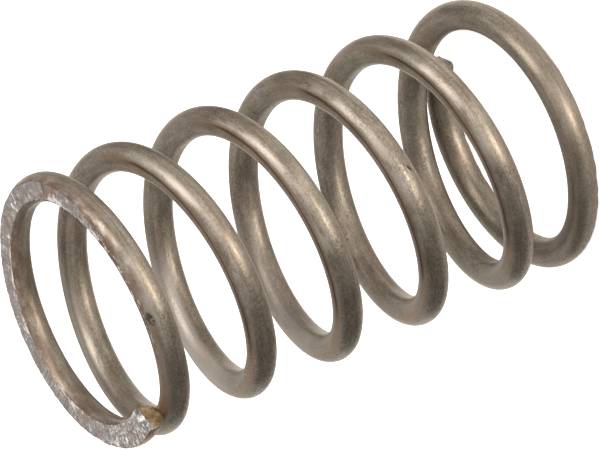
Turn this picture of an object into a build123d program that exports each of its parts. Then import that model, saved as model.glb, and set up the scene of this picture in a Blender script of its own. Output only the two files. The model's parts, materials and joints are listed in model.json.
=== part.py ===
from build123d import *
from math import cos, pi, sin
import os

# Helical compression spring, wound right-hand from round wire, with closed and ground ends.
# The axis is +Z. The origin is on the axis in the plane of the lower ground face, and the
# lower tip of the wire lies in the direction +X.

# Driving dimensions, in millimetres and turns
wire_diameter = 1.25
outside_diameter = 12.0
free_length = 22.0
total_coils = 6.44
grind_depth = 0.2  # thickness that grinding takes off each end coil
end_lead = 0.13  # rise for each turn that is left in the closed end coils
blend_turns = 0.46  # turns over which an end coil opens to full pitch
tip_clearance = 0.03  # air between each tip and the coil that it closes on
tip_kick = 0.15  # how far that coil pushes the tip outwards, along the axis
kick_turns = 0.12  # length of wire that is bent by the push, in turns
points_per_turn = 24  # points that the curve of the centreline passes through

wire_radius = wire_diameter / 2
mean_radius = (outside_diameter - wire_diameter) / 2

# A turn in from each tip, the wire lies just past that tip. The active coils share the rise
# that is left.
closed_rise = wire_diameter + tip_clearance - tip_kick
total_rise = free_length - wire_diameter + 2 * grind_depth
pitch = (total_rise - 2 * closed_rise) / (total_coils - 2)


def smooth_step(x):
    """Go from 0 to 1 as x does, level at both ends."""
    x = min(max(x, 0), 1)
    return x * x * (3 - 2 * x)


def smooth_step_area(x):
    """Area under the smooth step, from 0 to x."""
    if x <= 0:
        return 0
    if x >= 1:
        return x - 0.5
    return x**3 - x**4 / 2


def rise_from_tip(turns):
    """Distance along the axis that the centreline has gained, so many turns from a tip."""
    blend_middle = (pitch - closed_rise) / (pitch - end_lead)
    blend_start = blend_middle - blend_turns / 2
    opened_turns = blend_turns * smooth_step_area((turns - blend_start) / blend_turns)
    kick = tip_kick * (1 - smooth_step(turns / kick_turns))
    return end_lead * turns + (pitch - end_lead) * opened_turns - kick


def centreline_point(turns):
    """Point of the centreline at so many turns from the lower tip."""
    if turns < total_coils / 2:
        rise = rise_from_tip(turns)
    else:
        rise = total_rise - rise_from_tip(total_coils - turns)
    angle = 2 * pi * turns
    height = wire_radius - grind_depth + rise
    return (mean_radius * cos(angle), mean_radius * sin(angle), height)


with BuildPart() as spring:
    with BuildLine() as centreline:
        spans = round(total_coils * points_per_turn)
        Spline([centreline_point(total_coils * i / spans) for i in range(spans + 1)])
    # The closed end coils and the active coils between them are surfaces of their own.
    breaks = [0, 1 / total_coils, 1 - 1 / total_coils, 1]
    path = Wire([centreline.edge().trim(a, b) for a, b in zip(breaks, breaks[1:])])
    with BuildSketch(Plane(path @ 0, z_dir=path % 0)):
        Circle(wire_radius)
    sweep(path=path, is_frenet=True)
    # The grinding wheels leave both ends flat, square to the axis.
    split(bisect_by=Plane.XY, keep=Keep.TOP)
    split(bisect_by=Plane.XY.offset(free_length), keep=Keep.BOTTOM)

spring.part.label = "spring"
os.makedirs("parts", exist_ok=True)
export_step(spring.part, "parts/spring.step")
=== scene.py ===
import json
from contextlib import contextmanager
from math import atan2, cos, pi, radians, sin, sqrt, tan, tau
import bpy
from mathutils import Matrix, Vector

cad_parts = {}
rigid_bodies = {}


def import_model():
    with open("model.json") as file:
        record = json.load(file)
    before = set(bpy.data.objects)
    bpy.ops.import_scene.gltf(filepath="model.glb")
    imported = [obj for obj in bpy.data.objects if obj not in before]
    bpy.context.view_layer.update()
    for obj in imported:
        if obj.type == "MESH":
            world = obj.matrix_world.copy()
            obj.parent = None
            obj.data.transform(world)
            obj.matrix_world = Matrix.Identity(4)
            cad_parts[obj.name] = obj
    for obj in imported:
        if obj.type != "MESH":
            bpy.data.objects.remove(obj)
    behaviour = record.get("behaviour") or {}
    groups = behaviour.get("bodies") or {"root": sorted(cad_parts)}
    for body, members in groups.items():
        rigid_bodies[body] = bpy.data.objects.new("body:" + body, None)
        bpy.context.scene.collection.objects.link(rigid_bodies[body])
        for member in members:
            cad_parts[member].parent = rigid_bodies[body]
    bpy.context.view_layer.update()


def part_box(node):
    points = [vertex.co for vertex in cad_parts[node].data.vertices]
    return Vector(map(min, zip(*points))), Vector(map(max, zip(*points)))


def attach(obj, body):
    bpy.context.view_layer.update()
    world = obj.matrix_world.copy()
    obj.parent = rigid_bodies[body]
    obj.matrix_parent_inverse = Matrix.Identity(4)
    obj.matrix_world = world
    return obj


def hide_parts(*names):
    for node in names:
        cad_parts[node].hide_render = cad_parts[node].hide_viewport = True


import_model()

from types import SimpleNamespace

import bpy
from mathutils import Matrix, Vector

# A compression spring of drawn steel wire. It stands on its lower ground end, with its axis
# on +Z, and the lower tip of the wire lies in the direction +X. Lengths are in metres.

MM = 0.001

# The wound wire. These repeat the source's driving dimensions.
wire_diameter = 1.25 * MM
total_coils = 6.44
grind_depth = 0.2 * MM     # thickness that grinding takes off each end coil
end_lead = 0.13 * MM       # rise for each turn that is left in the closed end coils
blend_turns = 0.46         # turns over which an end coil opens to full pitch
tip_clearance = 0.03 * MM  # air between each tip and the coil that it closes on
tip_kick = 0.15 * MM       # how far that coil pushes the tip outwards, along the axis
kick_turns = 0.12          # length of wire that is bent by the push, in turns

# The box of the spring's solid gives the rest.
low_corner, high_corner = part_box("spring")
free_length = high_corner.z
outside_diameter = high_corner.x - low_corner.x
wire_radius = wire_diameter / 2
mean_radius = (outside_diameter - wire_diameter) / 2
wire_length = tau * mean_radius * total_coils
closed_rise = wire_diameter + tip_clearance - tip_kick
total_rise = free_length - wire_diameter + 2 * grind_depth
pitch = (total_rise - 2 * closed_rise) / (total_coils - 2)
even_lead = total_rise / total_coils

# How finely the wire's mesh is divided.
section_points = 60
steps_per_turn = 116
round_face_corners = 8  # a face of the round wire has no more corners than this
cut_face_corners = 12   # a face that a cut leaves has more corners than this
cut_tolerance = 0.001 * MM

# Each tip is cut a little off square, over the wire's last stretch.
upper_shear, upper_extra = radians(15), 0.46 * MM  # the upper one stands out by the extra
lower_shear, lower_trim = radians(23), 0.62 * MM   # the lower one falls short by the trim
shear_turns = 0.09
upper_rounding, lower_rounding = 0.05 * MM, 0.20 * MM
chamfer_start, chamfer_slope = 0.17 * MM, 0.7  # how far back the upper tip's chamfer starts
chamfer_reach = 2 * MM                         # length of wire that its cut may touch
edge_wear, edge_cuts = 0.03 * MM, 9            # how uneven its edges are, and at how many points

# The wheel leaves the wire lumpy near each flat, in a finer mesh, and the flat's rim uneven.
lump_reach, lump_size, lump_height = 0.5 * MM, 0.22 * MM, 0.06 * MM
fine_reach = 0.42 * MM
rim_reach, rim_wear = 0.06 * MM, 0.02 * MM

# The upper end coil's inner shoulder is worn down, near so many turns from its tip.
shoulder_wear, shoulder_turns, shoulder_spread = 0.13 * MM, 0.30, 0.14


# ---------------------------------------------------------------- shape

def smooth_step(x):
    x = min(max(x, 0.0), 1.0)
    return x * x * (3 - 2 * x)


def smooth_step_area(x):
    if x <= 0:
        return 0.0
    if x >= 1:
        return x - 0.5
    return x ** 3 - x ** 4 / 2


def rise_from_tip(turns):
    """Distance along the axis that the wire's middle has gained, so many turns from a tip."""
    blend_middle = (pitch - closed_rise) / (pitch - end_lead)
    blend_start = blend_middle - blend_turns / 2
    opened = blend_turns * smooth_step_area((turns - blend_start) / blend_turns)
    kick = tip_kick * (1 - smooth_step(turns / kick_turns))
    return end_lead * turns + (pitch - end_lead) * opened - kick


def wire_height(turns):
    """Height of the wire's middle above the floor, so many turns from the lower tip."""
    if turns < total_coils / 2:
        rise = rise_from_tip(turns)
    else:
        rise = total_rise - rise_from_tip(total_coils - turns)
    return wire_radius - grind_depth + rise


def wire_slope(turns):
    """Angle at which the wire climbs, taken over a short stretch of it."""
    half_stretch = 0.002
    before = max(turns - half_stretch, 0)
    after = min(turns + half_stretch, total_coils)
    return atan2(wire_height(after) - wire_height(before), tau * mean_radius * (after - before))


def ways(turns):
    """Directions away from the axis and along the wire, so many turns from the lower tip."""
    angle = tau * turns
    return Vector((cos(angle), sin(angle), 0)), Vector((-sin(angle), cos(angle), 0))


def tip_shift(turns, across):
    """How far a tip's oblique cut moves a point along the wire."""
    at_upper_tip = 1 - smooth_step((total_coils - turns) / shear_turns)
    at_lower_tip = 1 - smooth_step(turns / shear_turns)
    return (at_upper_tip * (upper_extra + tan(upper_shear) * across)
            + at_lower_tip * (lower_trim + tan(lower_shear) * across))


def worn_shoulder(turns_from_tip, across, along_axis):
    """How far the upper end coil's inner shoulder is worn down at a point of the section."""
    nearness = 1 - smooth_step(abs(turns_from_tip - shoulder_turns) / shoulder_spread)
    return shoulder_wear * nearness * max(-across, 0) * max(along_axis, 0)


def select_only(piece):
    bpy.ops.object.select_all(action="DESELECT")
    piece.select_set(True)
    bpy.context.view_layer.objects.active = piece


def select_vertices(wire, wanted):
    for polygon in wire.data.polygons:
        polygon.select = False
    for edge in wire.data.edges:
        edge.select = False
    for vertex in wire.data.vertices:
        vertex.select = wanted(vertex)


@contextmanager
def editing(kind="VERT"):
    """Edit mode, in which vertices, edges or faces are picked."""
    bpy.ops.object.mode_set(mode="EDIT")
    bpy.ops.mesh.select_mode(type=kind)
    yield
    bpy.ops.object.mode_set(mode="OBJECT")


def wind_even_coil():
    """A round section, wound round the axis at one even lead."""
    bpy.ops.object.select_all(action="DESELECT")
    bpy.ops.mesh.primitive_circle_add(
        vertices=section_points, radius=wire_radius,
        location=(mean_radius, 0, 0), rotation=(pi / 2, 0, 0))
    wire = bpy.context.object
    wire.name = "spring_wire"
    bpy.ops.object.transform_apply(location=True, rotation=True, scale=True)
    winding = wire.modifiers.new("winding", "SCREW")
    winding.axis = "Z"
    winding.angle = tau * total_coils
    winding.steps = winding.render_steps = round(total_coils * steps_per_turn)
    winding.screw_offset = total_rise
    winding.use_merge_vertices = False
    bpy.ops.object.modifier_apply(modifier=winding.name)
    return wire


def open_to_true_pitch(wire):
    """Close the end coils, open the others, and keep each point's place on the straight wire."""
    place = wire.data.attributes.new("wire_place", "FLOAT_VECTOR", "POINT")
    for vertex in wire.data.vertices:
        x, y, z = vertex.co
        share = atan2(y, x) / tau
        turns = share + round(z / even_lead - share)
        across = sqrt(x * x + y * y) - mean_radius
        along_axis = z - even_lead * turns
        turns = min(max(turns, 0.0), total_coils)
        slope = wire_slope(turns)
        forward = tip_shift(turns, across) - sin(slope) * along_axis
        outward, onward = ways(turns)
        point = (mean_radius + across) * outward + forward * onward
        worn = worn_shoulder(total_coils - turns, across / wire_radius, along_axis / wire_radius)
        point.z = wire_height(turns) + along_axis * cos(slope) - worn
        vertex.co = point
        place.data[vertex.index].vector = (across, along_axis, tau * mean_radius * turns)


def close_tips():
    with editing():
        bpy.ops.mesh.select_all(action="SELECT")
        bpy.ops.mesh.fill_holes(sides=0)
        bpy.ops.mesh.select_all(action="SELECT")
        bpy.ops.mesh.normals_make_consistent(inside=False)


def round_cut_face(wire, at_top, rounding, segments):
    """Round the rim of one tip's cut face."""
    select_vertices(wire, lambda vertex: False)
    for polygon in wire.data.polygons:
        is_cut = len(polygon.vertices) > cut_face_corners
        polygon.select = is_cut and (polygon.center.z > free_length / 2) == at_top
    with editing("FACE"):
        bpy.ops.mesh.region_to_loop()
        bpy.ops.mesh.bevel(
            offset=rounding, segments=segments, profile=0.5, affect="EDGES", clamp_overlap=False)


def chamfer_upper_tip(wire):
    """Take off the edge between the upper tip's cut face and its ground flat."""
    outward, onward = ways(total_coils)
    tip = mean_radius * outward + upper_extra * onward
    tip.z = free_length
    across_cut_face = onward - outward * tan(upper_shear)
    places = wire.data.attributes["wire_place"].data
    select_vertices(
        wire, lambda vertex: places[vertex.index].vector.z > wire_length - chamfer_reach)
    with editing():
        bpy.ops.mesh.bisect(
            plane_co=tip - chamfer_start * onward,
            plane_no=(across_cut_face * chamfer_slope + Vector((0, 0, 1))).normalized(),
            use_fill=True, clear_outer=True, threshold=cut_tolerance)


def roughen_rim(wire, height):
    """Make the wire lumpy round the wheel's plane."""
    rim = wire.vertex_groups.new(name="rim")
    for vertex in wire.data.vertices:
        depth = abs(vertex.co.z - height)
        if depth < lump_reach:
            rim.add([vertex.index], 1 - smooth_step(depth / lump_reach), "REPLACE")
    lumps = bpy.data.textures.new("lumps", "CLOUDS")
    lumps.noise_scale = lump_size
    lumps.noise_depth = 2
    rough = wire.modifiers.new("rough_rim", "DISPLACE")
    rough.texture = lumps
    rough.texture_coords = "LOCAL"
    rough.vertex_group = rim.name
    rough.strength = lump_height
    rough.mid_level = 0.5
    bpy.ops.object.modifier_apply(modifier=rough.name)
    wire.vertex_groups.clear()


def drop_loose_bits(wire):
    """Delete what no longer joins the middle of the wire."""
    select_vertices(wire, lambda vertex: abs(vertex.co.z - free_length / 2) < wire_radius)
    with editing():
        bpy.ops.mesh.select_linked()
        bpy.ops.mesh.select_all(action="INVERT")
        bpy.ops.mesh.delete(type="VERT")


def grind(wire, height, side):
    """Roughen the wire round the wheel's plane, then cut it there and close the flat."""
    roughen_rim(wire, height)
    select_vertices(wire, lambda vertex: abs(vertex.co.z - height) < fine_reach)
    with editing():
        bpy.ops.mesh.subdivide(number_cuts=1, smoothness=0)
    select_vertices(wire, lambda vertex: abs(vertex.co.z - height) < rim_reach)
    with editing():
        bpy.ops.transform.vertex_random(offset=rim_wear, uniform=0.3, normal=1.0, seed=7)
        bpy.ops.mesh.select_all(action="SELECT")
        bpy.ops.mesh.bisect(
            plane_co=(0, 0, height), plane_no=(0, 0, side), clear_outer=True,
            threshold=cut_tolerance)
    drop_loose_bits(wire)
    with editing():
        bpy.ops.mesh.select_all(action="SELECT")
        bpy.ops.mesh.fill_holes(sides=0)


def wear_tip_edges(wire):
    """Make the straight edges round the upper tip's chamfer uneven."""
    owners = {}
    for polygon in wire.data.polygons:
        if len(polygon.vertices) > cut_face_corners and polygon.center.z > free_length / 2:
            for key in polygon.edge_keys:
                owners[key] = owners.get(key, 0) + 1
    select_vertices(wire, lambda vertex: False)
    for edge in wire.data.edges:
        edge.select = owners.get(edge.key, 0) == 2
    with editing("EDGE"):
        bpy.ops.mesh.subdivide(number_cuts=edge_cuts)
        bpy.ops.transform.vertex_random(offset=edge_wear, uniform=0.5, normal=0.0, seed=3)


def part_faces(wire):
    """Give the ground flats and the upper tip's cuts their own finishes, behind crisp edges."""
    drawn, ground, sheared, rubbed = 0, 1, 2, 3
    level, leaning = 0.999, 0.6  # how much of a face's normal points up or down
    crisp = set()
    for polygon in wire.data.polygons:
        polygon.use_smooth = len(polygon.vertices) <= round_face_corners
        if polygon.use_smooth:
            continue
        if abs(polygon.normal.z) > level:
            polygon.material_index = ground
        elif polygon.normal.z > leaning:
            polygon.material_index = rubbed
        else:
            polygon.material_index = sheared if polygon.center.z > free_length / 2 else drawn
        if polygon.material_index != drawn:
            crisp.update(polygon.edge_keys)
    for edge in wire.data.edges:
        if edge.key in crisp:
            edge.use_edge_sharp = True


# ---------------------------------------------------------------- nodes

def new_material(name):
    material = bpy.data.materials.new(name)
    material.use_nodes = True
    tree = material.node_tree
    return material, tree, tree.nodes["Principled BSDF"]


def set_socket(tree, socket, value):
    """Link what makes the value, or write the number or the colour itself."""
    if isinstance(value, (int, float)):
        socket.default_value = value
    elif isinstance(value, tuple):
        socket.default_value = (*value, 1)
    else:
        tree.links.new(value, socket)


def math(tree, operation, first, second=0.0, third=0.0):
    made = tree.nodes.new("ShaderNodeMath")
    made.operation = operation
    for socket, value in zip(made.inputs, (first, second, third)):
        set_socket(tree, socket, value)
    return made.outputs["Value"]


def times(tree, *factors):
    """Several values multiplied."""
    product = factors[0]
    for factor in factors[1:]:
        product = math(tree, "MULTIPLY", product, factor)
    return product


def weighted(tree, *parts):
    """Several values added up, each with its weight."""
    *others, last = parts
    total = times(tree, *last)
    for value, weight in reversed(others):
        total = math(tree, "MULTIPLY_ADD", value, weight, total)
    return total


def between(tree, value, low, high):
    """0 below low, 1 above high, and a smooth step between them."""
    made = tree.nodes.new("ShaderNodeMapRange")
    made.interpolation_type = "SMOOTHSTEP"
    made.inputs["From Min"].default_value = low
    made.inputs["From Max"].default_value = high
    tree.links.new(value, made.inputs["Value"])
    return made.outputs["Result"]


def within(tree, value, low, high):
    """1 below low, 0 above high, and a smooth step between them."""
    return math(tree, "SUBTRACT", 1.0, between(tree, value, low, high))


def noise(tree, vector, grains, detail, roughness, offset=(0, 0, 0)):
    """Noise of so many grains to the millimetre, in each direction."""
    mapping = tree.nodes.new("ShaderNodeMapping")
    tree.links.new(vector, mapping.inputs["Vector"])
    mapping.inputs["Scale"].default_value = [count / MM for count in grains]
    mapping.inputs["Location"].default_value = offset
    made = tree.nodes.new("ShaderNodeTexNoise")
    made.inputs["Scale"].default_value = 1.0
    made.inputs["Detail"].default_value = detail
    made.inputs["Roughness"].default_value = roughness
    tree.links.new(mapping.outputs["Vector"], made.inputs["Vector"])
    return made.outputs["Fac"]


def blotches(tree, vector, grains, detail, roughness, offset, low, high):
    """1 where the noise is above high, 0 where it is below low, and soft edges between."""
    return between(tree, noise(tree, vector, grains, detail, roughness, offset), low, high)


def ramp(tree, factor, stops):
    made = tree.nodes.new("ShaderNodeValToRGB")
    tree.links.new(factor, made.inputs["Fac"])
    elements = made.color_ramp.elements
    while len(elements) < len(stops):
        elements.new(0.5)
    for element, (position, colour) in zip(elements, stops):
        element.position = position
        element.color = (*colour, 1)
    return made.outputs["Color"]


def mix_colour(tree, factor, first, second, blend="MIX"):
    made = tree.nodes.new("ShaderNodeMix")
    made.data_type = "RGBA"
    made.blend_type = blend
    factor_input, first_input, second_input = made.inputs[0], made.inputs[6], made.inputs[7]
    set_socket(tree, factor_input, factor)
    set_socket(tree, first_input, first)
    set_socket(tree, second_input, second)
    return made.outputs[2]


def stain(tree, colour, mask, strength, stain_colour):
    """Mix another colour in, where the mask is and as strongly as said."""
    return mix_colour(tree, times(tree, mask, strength), colour, stain_colour)


def bumped(tree, shader, height, strength, distance):
    bump = tree.nodes.new("ShaderNodeBump")
    bump.inputs["Strength"].default_value = strength
    bump.inputs["Distance"].default_value = distance
    tree.links.new(height, bump.inputs["Height"])
    tree.links.new(bump.outputs["Normal"], shader.inputs["Normal"])


def seen_directly(tree):
    """1 where something is looked at, also in metal or through glass, and 0 where it lights."""
    rays = tree.nodes.new("ShaderNodeLightPath").outputs
    in_metal_or_glass = math(tree, "MAXIMUM", rays["Is Glossy Ray"], rays["Is Transmission Ray"])
    return math(tree, "MAXIMUM", rays["Is Camera Ray"], in_metal_or_glass)


# ---------------------------------------------------------------- places on the wire

def wire_coordinates(tree):
    """Where a point is: on the straight wire, round its section and on the spring.

    The angle round the section is 0 on the outside of the coil, a quarter turn on its upper
    side and half a turn inside.
    """
    attribute = tree.nodes.new("ShaderNodeAttribute")
    attribute.attribute_name = "wire_place"
    straight = attribute.outputs["Vector"]
    axes = tree.nodes.new("ShaderNodeSeparateXYZ")
    tree.links.new(straight, axes.inputs["Vector"])
    across, up, along = axes.outputs
    spot = tree.nodes.new("ShaderNodeTexCoord").outputs["Object"]
    spot_axes = tree.nodes.new("ShaderNodeSeparateXYZ")
    tree.links.new(spot, spot_axes.inputs["Vector"])
    return SimpleNamespace(
        straight=straight, across=across, up=up, along=along,
        section=math(tree, "ARCTAN2", up, across), spot=spot, height=spot_axes.outputs["Z"])


def stripe(tree, place, angle, core, edge):
    """1 in a stripe along the wire, at an angle round its section, and 0 past its soft edges."""
    off_middle = math(tree, "ABSOLUTE", math(tree, "SUBTRACT", place.section, angle))
    return within(tree, off_middle, core, edge)


def side_towards(tree, place, degrees, low, high):
    """1 on the side of the spring that lies one way. Low and high are shares of the mean radius."""
    out = tree.nodes.new("ShaderNodeVectorMath")
    out.operation = "DOT_PRODUCT"
    out.inputs[1].default_value = (cos(radians(degrees)), sin(radians(degrees)), 0)
    tree.links.new(place.spot, out.inputs[0])
    return between(tree, out.outputs["Value"], low * mean_radius, high * mean_radius)


def storey(tree, place, bottom, top):
    """1 between two heights. Each is a pair, where the step there starts and where it ends."""
    return math(tree, "SUBTRACT", between(tree, place.height, *bottom),
                between(tree, place.height, *top))


def smear(tree, place, across, turns_from_tip, offset, length, width, lean=0.0):
    """1 inside a soft oval on the wire, so many turns from the upper tip, and 0 outside it."""
    core, edge = 0.3, 1.0
    middle = tau * mean_radius * (total_coils - turns_from_tip)
    step = math(tree, "SUBTRACT", place.along, middle)
    side = math(tree, "SUBTRACT", across, offset)
    ahead = math(tree, "MULTIPLY_ADD", step, cos(lean), times(tree, side, sin(lean)))
    aside = math(tree, "MULTIPLY_ADD", side, cos(lean), times(tree, step, -sin(lean)))
    ahead = math(tree, "DIVIDE", ahead, length)
    aside = math(tree, "DIVIDE", aside, width)
    away = math(tree, "MULTIPLY_ADD", ahead, ahead, times(tree, aside, aside))
    return within(tree, away, core, edge)


# ---------------------------------------------------------------- the drawn wire's finish

def pit_in_patches(tree, place, colour):
    """Pits that lie in patches, drawn out along the wire, thickest on one side, with painted shade
    there.
    """
    patches = blotches(tree, place.straight, (0.8, 0.8, 0.22), detail=3, roughness=0.6,
                       offset=(1, 4, 6), low=0.50, high=0.62)
    pits = blotches(tree, place.straight, (12, 12, 10), detail=2, roughness=0.6,
                    offset=(8, 2, 3), low=0.48, high=0.60)
    shaded_pitted_side = times(tree, side_towards(tree, place, degrees=189, low=0.88, high=0.99),
                      stripe(tree, place, angle=0.15, core=0.5, edge=1.0))
    # Painted shade: the outer side that faces about 189 degrees is darkened, where its reflection
    # is dark.
    colour = stain(tree, colour, shaded_pitted_side, 0.40, (0.068, 0.055, 0.041))
    pitted = times(tree, math(tree, "MAXIMUM", times(tree, patches, 0.7), shaded_pitted_side), pits)
    return stain(tree, colour, pitted, 0.60, (0.045, 0.036, 0.028)), pitted


def pale_band_and_painted_light(tree, place, mottle, colour):
    """A paler band on one side outside, and painted light on the inner side of the upper coils."""
    outer = times(tree, stripe(tree, place, angle=0.75, core=0.15, edge=0.45),
                  side_towards(tree, place, degrees=250, low=0.55, high=0.95),
                  between(tree, mottle, 0.35, 0.6),
                  between(tree, place.height, 3.0 * MM, 5.5 * MM))
    colour = stain(tree, colour, outer, 0.4, (0.31, 0.28, 0.25))
    # Painted light: the inner side of the upper coils is made paler, where it reflects the dark
    # coil above.
    wide = times(tree, stripe(tree, place, angle=2.15, core=0.55, edge=0.98),
                 side_towards(tree, place, degrees=85, low=0.50, high=0.92),
                 storey(tree, place, (8 * MM, 15 * MM), (16.5 * MM, 19 * MM)))
    narrow = times(tree, stripe(tree, place, angle=2.0, core=0.2, edge=0.6),
                   side_towards(tree, place, degrees=62, low=0.72, high=0.98),
                   storey(tree, place, (17 * MM, 18 * MM), (20 * MM, 20.8 * MM)))
    inner = math(tree, "MAXIMUM", wide, times(tree, narrow, 0.8))
    return stain(tree, colour, inner, 0.6, (0.41, 0.365, 0.325))


def tool_marks_and_painted_reflection(tree, place, colour):
    """Lines the coiling tools rubbed on the wire's upper and outer sides, and a painted reflection
    below.
    """
    waver = noise(tree, place.straight, (0, 0, 1.1), detail=2, roughness=0.5, offset=(4, 4, 4))
    upper_line = math(tree, "MULTIPLY_ADD", waver, 0.12, 1.25)
    marked = storey(tree, place, (3.4 * MM, 4.6 * MM),
                    (free_length - 0.75 * MM, free_length - 0.45 * MM))
    brown = times(tree, stripe(tree, place, upper_line, core=0.05, edge=0.42), marked,
                  side_towards(tree, place, degrees=240, low=0.05, high=0.50))
    colour = stain(tree, colour, brown, 0.5, (0.13, 0.077, 0.045))
    orange = times(tree, stripe(tree, place, upper_line, core=0.04, edge=0.30), marked,
                   side_towards(tree, place, degrees=155, low=0.88, high=0.99))
    colour = stain(tree, colour, orange, 0.5, (0.25, 0.145, 0.078))
    groove = times(tree, stripe(tree, place, upper_line, core=0.03, edge=0.12), marked,
                   side_towards(tree, place, degrees=240, low=0.50, high=0.70))
    colour = stain(tree, colour, groove, 0.9, (0.045, 0.024, 0.015))

    # Painted reflection: a lighter orange band low on the outside, for the warm reflection of the
    # next coils.
    lower = stripe(tree, place, angle=-1.15, core=0.1, edge=0.5)
    colour = stain(tree, colour, lower, 0.5, (0.29, 0.195, 0.125))
    outer_line = math(tree, "MULTIPLY_ADD", waver, 0.3, -0.17)
    broken = blotches(tree, place.straight, (1, 1, 0.35), detail=3, roughness=0.6,
                      offset=(9, 1, 1), low=0.42, high=0.60)
    outer = times(tree, stripe(tree, place, outer_line, core=0.02, edge=0.13), broken)
    return stain(tree, colour, outer, 0.5, (0.07, 0.05, 0.038)), groove


def brown_near_flats(tree, place, colour):
    """Rusty brown near the ground flats, where the wheel has just touched the wire in places."""
    low_rim = times(tree, within(tree, place.height, 0.05 * MM, 0.45 * MM), 0.4)
    high_rim = between(tree, place.height, free_length - 0.60 * MM, free_length - 0.05 * MM)
    uneven = blotches(tree, place.straight, (2.5, 2.5, 1.6), detail=4, roughness=0.6,
                      offset=(3, 3, 9), low=0.36, high=0.58)
    rust = times(tree, math(tree, "MAXIMUM", low_rim, high_rim), uneven)
    colour = stain(tree, colour, rust, 0.75, (0.098, 0.053, 0.035))

    touched = times(
        tree, between(tree, place.height, free_length - 0.70 * MM, free_length - 0.40 * MM),
        stripe(tree, place, angle=1.75, core=0.35, edge=0.55))
    dark_spots = blotches(tree, place.straight, (6, 6, 3), detail=3, roughness=0.6,
                          offset=(2, 2, 6), low=0.50, high=0.60)
    colour = stain(tree, colour, times(tree, dark_spots, touched), 0.4, (0.06, 0.03, 0.02))
    bright_flecks = blotches(tree, place.straight, (7, 7, 3.5), detail=3, roughness=0.6,
                             offset=(7, 5, 1), low=0.55, high=0.62)
    return stain(tree, colour, times(tree, bright_flecks, touched), 0.7, (0.75, 0.72, 0.68))


def darken_lowest_coil_and_stain(tree, place, colour):
    """The lowest coil darker on one side, brown and tan patches near the upper end, and stains."""
    # The lowest coil is darker on the side that faces about 215 degrees.
    lowest_coil_darker = times(tree, within(tree, place.height, 1.5 * MM, 4.5 * MM),
                 side_towards(tree, place, degrees=215, low=0.1, high=0.7))
    colour = stain(tree, colour, lowest_coil_darker, 0.3, (0.12, 0.095, 0.070))

    round_wire = times(tree, place.section, wire_radius)
    brown_patch = smear(tree, place, round_wire, turns_from_tip=0.91, offset=1.3 * wire_radius,
                        length=4.2 * MM, width=0.62 * MM)
    colour = stain(tree, colour, brown_patch, 0.65, (0.070, 0.048, 0.032))
    tan_patches = math(
        tree, "MAXIMUM",
        smear(tree, place, round_wire, turns_from_tip=0.93, offset=1.9 * wire_radius,
              length=4.0 * MM, width=0.36 * MM),
        smear(tree, place, round_wire, turns_from_tip=0.03, offset=0.55 * wire_radius,
              length=2.6 * MM, width=0.45 * MM))
    colour = stain(tree, colour, tan_patches, 0.6, (0.17, 0.090, 0.048))

    black_spot = smear(tree, place, round_wire, turns_from_tip=0.832, offset=wire_radius,
                       length=0.36 * MM, width=0.22 * MM, lean=0.3)
    slanting_scuff = smear(tree, place, round_wire, turns_from_tip=3.787,
                           offset=-0.24 * wire_radius, length=0.42 * MM, width=0.09 * MM, lean=0.5)
    ragged = blotches(tree, place.straight, (5, 5, 4), detail=3, roughness=0.6,
                      offset=(6, 6, 6), low=0.38, high=0.50)
    black = times(tree, math(tree, "MAXIMUM", black_spot, slanting_scuff), ragged)
    return stain(tree, colour, black, 0.95, (0.022, 0.016, 0.013))


def drawn_wire():
    """Dulled drawn steel: mottled, finely grained, with draw lines, pits, tool marks, painted light
    and shade.
    """
    material, tree, shader = new_material("drawn_wire")
    place = wire_coordinates(tree)
    mottle = noise(tree, place.straight, (1.9, 1.9, 0.8), detail=5, roughness=0.62)
    grain = noise(tree, place.straight, (14, 14, 11), detail=2, roughness=0.6, offset=(5, 9, 2))
    lines = noise(tree, place.straight, (15, 15, 0.5), detail=2, roughness=0.55, offset=(3, 1, 7))
    tone = weighted(tree, (mottle, 0.42), (grain, 0.38), (lines, 0.20))
    colour = ramp(tree, tone, [
        (0.38, (0.108, 0.087, 0.066)), (0.50, (0.172, 0.142, 0.110)),
        (0.62, (0.254, 0.215, 0.172))])
    cloud = noise(tree, place.straight, (1.3, 1.3, 0.5), detail=3, roughness=0.6, offset=(2, 8, 5))
    tint = ramp(tree, cloud, [
        (0.40, (0.97, 1.0, 0.99)), (0.50, (1, 1, 1)), (0.61, (1.0, 0.955, 0.93))])
    colour = mix_colour(tree, 1.0, colour, tint, "MULTIPLY")

    colour, pitted = pit_in_patches(tree, place, colour)
    colour = pale_band_and_painted_light(tree, place, mottle, colour)
    colour, groove = tool_marks_and_painted_reflection(tree, place, colour)
    colour = brown_near_flats(tree, place, colour)
    colour = darken_lowest_coil_and_stain(tree, place, colour)
    tree.links.new(colour, shader.inputs["Base Color"])

    shader.inputs["Metallic"].default_value = 0.60
    shader.inputs["Specular Tint"].default_value = (0.94, 0.86, 0.76, 1)
    rough = math(tree, "MULTIPLY_ADD", mottle, 0.24, 0.28)
    tree.links.new(math(tree, "MULTIPLY_ADD", pitted, 0.15, rough), shader.inputs["Roughness"])
    relief = weighted(tree, (grain, 0.7), (lines, 0.3))
    relief = math(tree, "SUBTRACT", relief, times(tree, pitted, 0.5))
    relief = math(tree, "SUBTRACT", relief, times(tree, groove, 0.8))
    bumped(tree, shader, relief, strength=0.4, distance=0.02 * MM)
    return material


# ---------------------------------------------------------------- the other finishes

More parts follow.
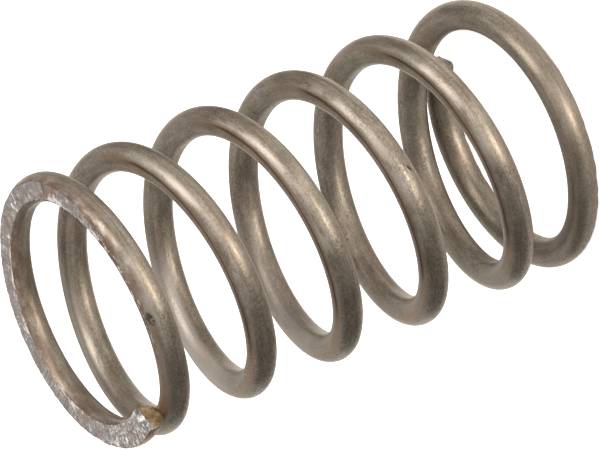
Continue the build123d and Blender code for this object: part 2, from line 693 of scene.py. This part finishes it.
def burr_and_gouge_glints(tree, place):
    """1 on the burrs along the flat's scalloped inner edge and in two small gouges, for painted
    glints.
    """
    from_middle = math(tree, "SQRT", math(
        tree, "MULTIPLY_ADD", place.across, place.across, times(tree, place.up, place.up)))
    scallops = noise(tree, place.straight, (2, 2, 3), detail=1, roughness=0.5, offset=(3, 8, 8))
    at_edge = between(tree, math(tree, "MULTIPLY_ADD", scallops, 1.1 * MM, from_middle),
                      wire_radius + 0.41 * MM, wire_radius + 0.47 * MM)
    inside = math(tree, "LESS_THAN", place.across, 0.05 * MM)
    few_patches = blotches(tree, place.straight, (0.7, 0.7, 0.6), detail=2, roughness=0.5,
                           offset=(1, 2, 3), low=0.46, high=0.56)
    main_patch = smear(tree, place, place.across, turns_from_tip=0.382, offset=-0.4 * MM,
                       length=1.5 * MM, width=0.6 * MM)
    patches = math(tree, "MAXIMUM", main_patch, times(tree, few_patches, 0.6))
    broken = blotches(tree, place.straight, (4, 4, 3.5), detail=2, roughness=0.6,
                      offset=(9, 2, 8), low=0.35, high=0.46)
    burrs = times(tree, patches, broken, inside, at_edge)
    gouges = math(
        tree, "MAXIMUM",
        smear(tree, place, place.across, turns_from_tip=0.496, offset=0.12 * MM,
              length=0.09 * MM, width=0.3 * MM, lean=0.3),
        smear(tree, place, place.across, turns_from_tip=0.508, offset=0.2 * MM,
              length=0.07 * MM, width=0.25 * MM, lean=0.3))
    return math(tree, "MAXIMUM", burrs, gouges)


def ground_steel():
    """The flats that the wheel left: mottled grey with cross scuffs, and crackled near the tip."""
    material, tree, shader = new_material("ground_steel")
    place = wire_coordinates(tree)
    scuffs = noise(tree, place.straight, (2.2, 2.2, 8), detail=4, roughness=0.65, offset=(2, 3, 1))
    cloud = noise(tree, place.spot, (2.6, 2.6, 0), detail=4, roughness=0.62, offset=(7, 3, 1))
    speckle = noise(tree, place.spot, (9, 9, 0), detail=3, roughness=0.65, offset=(3, 5, 1))
    tone = weighted(tree, (scuffs, 0.35), (cloud, 0.35), (speckle, 0.30))
    near_tip = between(tree, place.along, wire_length - 5.5 * MM, wire_length - 2.0 * MM)
    crackle = noise(tree, place.spot, (6, 6, 0), detail=3, roughness=0.75, offset=(4, 6, 2))
    crackle = times(tree, math(tree, "SUBTRACT", crackle, 0.46), 0.7)
    tone = math(tree, "MULTIPLY_ADD", near_tip, crackle, tone)
    colour = ramp(tree, tone, [
        (0.38, (0.09, 0.072, 0.060)), (0.46, (0.215, 0.182, 0.162)),
        (0.54, (0.32, 0.280, 0.255)), (0.64, (0.80, 0.77, 0.74))])

    rust = blotches(tree, place.spot, (1.0, 1.0, 0), detail=4, roughness=0.62,
                    offset=(6, 1, 4), low=0.48, high=0.62)
    rust_spot = smear(tree, place, place.across, turns_from_tip=0.605, offset=0.05 * MM,
                      length=1.1 * MM, width=0.45 * MM)
    rust_spot = times(tree, rust_spot, between(tree, scuffs, 0.34, 0.48))
    rust = math(tree, "MAXIMUM", times(tree, rust, 0.7), rust_spot)
    colour = stain(tree, colour, rust, 0.8, (0.20, 0.105, 0.066))
    scratches = blotches(tree, place.straight, (0.5, 0.5, 6), detail=2, roughness=0.5,
                         offset=(5, 7, 3), low=0.64, high=0.70)
    colour = stain(tree, colour, scratches, 0.75, (0.03, 0.025, 0.022))
    # Painted glints: near-white colour on the burrs and gouges, where they catch the light.
    colour = stain(tree, colour, burr_and_gouge_glints(tree, place), 0.9, (0.95, 0.93, 0.90))
    tree.links.new(colour, shader.inputs["Base Color"])

    shader.inputs["Metallic"].default_value = 0.9
    tree.links.new(math(tree, "MULTIPLY_ADD", cloud, 0.5, 0.15), shader.inputs["Roughness"])
    relief = weighted(tree, (scuffs, 0.5), (speckle, 0.5))
    bumped(tree, shader, relief, strength=0.7, distance=0.05 * MM)
    return material


def rubbed_steel():
    """The chamfer between the upper tip's flat and its cut face: smooth and bluish."""
    material, tree, shader = new_material("rubbed_steel")
    spot = tree.nodes.new("ShaderNodeTexCoord").outputs["Object"]
    cloud = noise(tree, spot, (3.5, 3.5, 3.5), detail=4, roughness=0.62, offset=(1, 5, 2))
    colour = ramp(tree, cloud, [
        (0.40, (0.05, 0.05, 0.052)), (0.50, (0.10, 0.103, 0.11)), (0.62, (0.42, 0.41, 0.40))])
    tree.links.new(colour, shader.inputs["Base Color"])
    shader.inputs["Metallic"].default_value = 0.9
    shader.inputs["Roughness"].default_value = 0.35
    bumped(tree, shader, cloud, strength=0.6, distance=0.05 * MM)
    return material


def sheared_steel():
    """The upper tip's cut face, golden brown."""
    material, tree, shader = new_material("sheared_steel")
    spot = tree.nodes.new("ShaderNodeTexCoord").outputs["Object"]
    cloud = noise(tree, spot, (2.4, 2.4, 2.4), detail=4, roughness=0.6, offset=(4, 2, 7))
    grain = noise(tree, spot, (13, 13, 13), detail=2, roughness=0.6)
    tone = weighted(tree, (cloud, 0.7), (grain, 0.3))
    colour = ramp(tree, tone, [
        (0.38, (0.11, 0.064, 0.030)), (0.50, (0.23, 0.157, 0.087)), (0.62, (0.41, 0.32, 0.21))])
    tree.links.new(colour, shader.inputs["Base Color"])
    shader.inputs["Metallic"].default_value = 0.85
    shader.inputs["Roughness"].default_value = 0.45
    bumped(tree, shader, tone, strength=0.5, distance=0.03 * MM)
    return material


# ---------------------------------------------------------------- the spring

def make_spring():
    wire = wind_even_coil()
    open_to_true_pitch(wire)
    select_only(wire)
    close_tips()
    round_cut_face(wire, at_top=True, rounding=upper_rounding, segments=2)
    round_cut_face(wire, at_top=False, rounding=lower_rounding, segments=4)
    chamfer_upper_tip(wire)
    grind(wire, free_length, side=1)
    grind(wire, 0.0, side=-1)
    wear_tip_edges(wire)
    for finish in (drawn_wire, ground_steel, sheared_steel, rubbed_steel):
        wire.data.materials.append(finish())
    part_faces(wire)
    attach(wire, "root")
    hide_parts("spring")


# ---------------------------------------------------------------- studio

def lay_floor():
    """A pale floor that shows white where it is looked at, and keeps the spring's shadow."""
    floor_size, grey, own_glow = 3000 * MM, 0.85, 0.7
    bpy.ops.object.select_all(action="DESELECT")
    bpy.ops.mesh.primitive_plane_add(size=floor_size, location=(0, 0, 0))
    floor = bpy.context.object
    floor.name = "floor"
    material, tree, shader = new_material("white_floor")
    tree.nodes.remove(shader)
    paper = tree.nodes.new("ShaderNodeBsdfDiffuse")
    paper.inputs["Color"].default_value = (grey, grey, grey, 1)
    glow = tree.nodes.new("ShaderNodeEmission")
    tree.links.new(times(tree, seen_directly(tree), own_glow), glow.inputs["Strength"])
    both = tree.nodes.new("ShaderNodeAddShader")
    tree.links.new(paper.outputs[0], both.inputs[0])
    tree.links.new(glow.outputs[0], both.inputs[1])
    tree.links.new(both.outputs[0], tree.nodes["Material Output"].inputs["Surface"])
    floor.data.materials.append(material)
    floor.visible_shadow = False  # the lamp below lights the spring through this table


def stand_card(name, degrees, distance, width, height, grey):
    """A card beside the spring, that only the metal sees."""
    toward = radians(degrees)
    bpy.ops.object.select_all(action="DESELECT")
    bpy.ops.mesh.primitive_plane_add(
        size=1.0, rotation=(pi / 2, 0, toward + pi / 2),
        location=(cos(toward) * distance, sin(toward) * distance, height / 2))
    card = bpy.context.object
    card.name = name
    card.scale = (width, height, 1)
    material, tree, shader = new_material(name + "_paint")
    shader.inputs["Base Color"].default_value = (grey, grey, grey, 1)
    shader.inputs["Roughness"].default_value = 1.0
    card.data.materials.append(material)
    card.visible_camera = card.visible_shadow = card.visible_diffuse = False


def light_world():
    """Even light all round, that shows white where it is looked at."""
    even_light = 0.6
    world = bpy.data.worlds.new("studio")
    bpy.context.scene.world = world
    world.use_nodes = True
    tree = world.node_tree
    background = tree.nodes["Background"]
    background.inputs["Color"].default_value = (1, 1, 1, 1)
    strength = math(tree, "MULTIPLY_ADD", seen_directly(tree), 1 - even_light, even_light)
    tree.links.new(strength, background.inputs["Strength"])


def softbox(name, middle, direction, distance, width, height, tall, radiance, colour):
    """A flat lamp that faces the spring's middle, as bright as a lit panel of that radiance."""
    backward = Vector(direction).normalized()
    bpy.ops.object.light_add(type="AREA", location=middle + backward * distance)
    lamp = bpy.context.object
    lamp.name = name
    side = Vector(tall).cross(backward).normalized()
    lamp.rotation_euler = Matrix((side, backward.cross(side), backward)).transposed().to_euler()
    lamp.data.shape = "ELLIPSE"
    lamp.data.size, lamp.data.size_y = width, height
    lamp.data.color = colour
    lamp.data.energy = radiance * pi * (pi / 4 * width * height)
    lamp.visible_camera = False
    return lamp


def set_camera(middle):
    """Look at the spring from above and to one side, with the camera turned on its side."""
    azimuth, elevation, roll = radians(-128.0), radians(25.75), radians(-112.8)
    distance, aim_shift = 516.3 * MM, Vector((0.0135 * MM, -0.188 * MM, 0))
    backward = Vector((
        cos(azimuth) * cos(elevation), sin(azimuth) * cos(elevation), sin(elevation)))
    turn = (-backward).to_track_quat("-Z", "Y").to_matrix() @ Matrix.Rotation(roll, 3, "Z")
    bpy.ops.object.camera_add(
        location=middle + turn @ aim_shift + backward * distance, rotation=turn.to_euler())
    camera = bpy.context.object
    camera.data.sensor_width = 36
    camera.data.lens = 750.3
    camera.data.clip_start, camera.data.clip_end = 10 * MM, 10
    bpy.context.scene.camera = camera


def light_spring(middle):
    """Four softboxes. The one below shines up past the floor, which casts no shadow."""
    neutral, warm = (1.0, 0.98, 0.95), (1.0, 0.95, 0.88)
    softbox("left_softbox", middle, direction=(0.27, -0.60, 0.75), distance=450 * MM,
            width=160 * MM, height=400 * MM, tall=(0.336, 0.669, 0.414),
            radiance=10.9, colour=neutral)
    softbox("front_softbox", middle, direction=(-0.40, -0.83, 0.38), distance=600 * MM,
            width=260 * MM, height=500 * MM, tall=(0.5, 0.1, 0.6),
            radiance=3.0, colour=neutral)
    under = softbox("under_softbox", middle, direction=(-0.671, -0.686, -0.280),
                    distance=499.8 * MM, width=260 * MM, height=160 * MM, tall=(0.71, -0.70, 0),
                    radiance=21.0, colour=warm)
    under.data.cycles.use_multiple_importance_sampling = False
    softbox("top_softbox", middle, direction=(-0.06, 0.36, 0.93), distance=499.5 * MM,
            width=300 * MM, height=300 * MM, tall=(1, 0, 0),
            radiance=1.8, colour=neutral)


make_spring()
lay_floor()
stand_card("dark_card", degrees=162, distance=11 * MM, width=21 * MM, height=25 * MM, grey=0.16)
stand_card("grey_card", degrees=-27, distance=15 * MM, width=17 * MM, height=20 * MM, grey=0.30)
light_world()
spring_middle = Vector((0, 0, free_length / 2))
set_camera(spring_middle)
light_spring(spring_middle)
bpy.context.scene.view_settings.view_transform = "Standard"
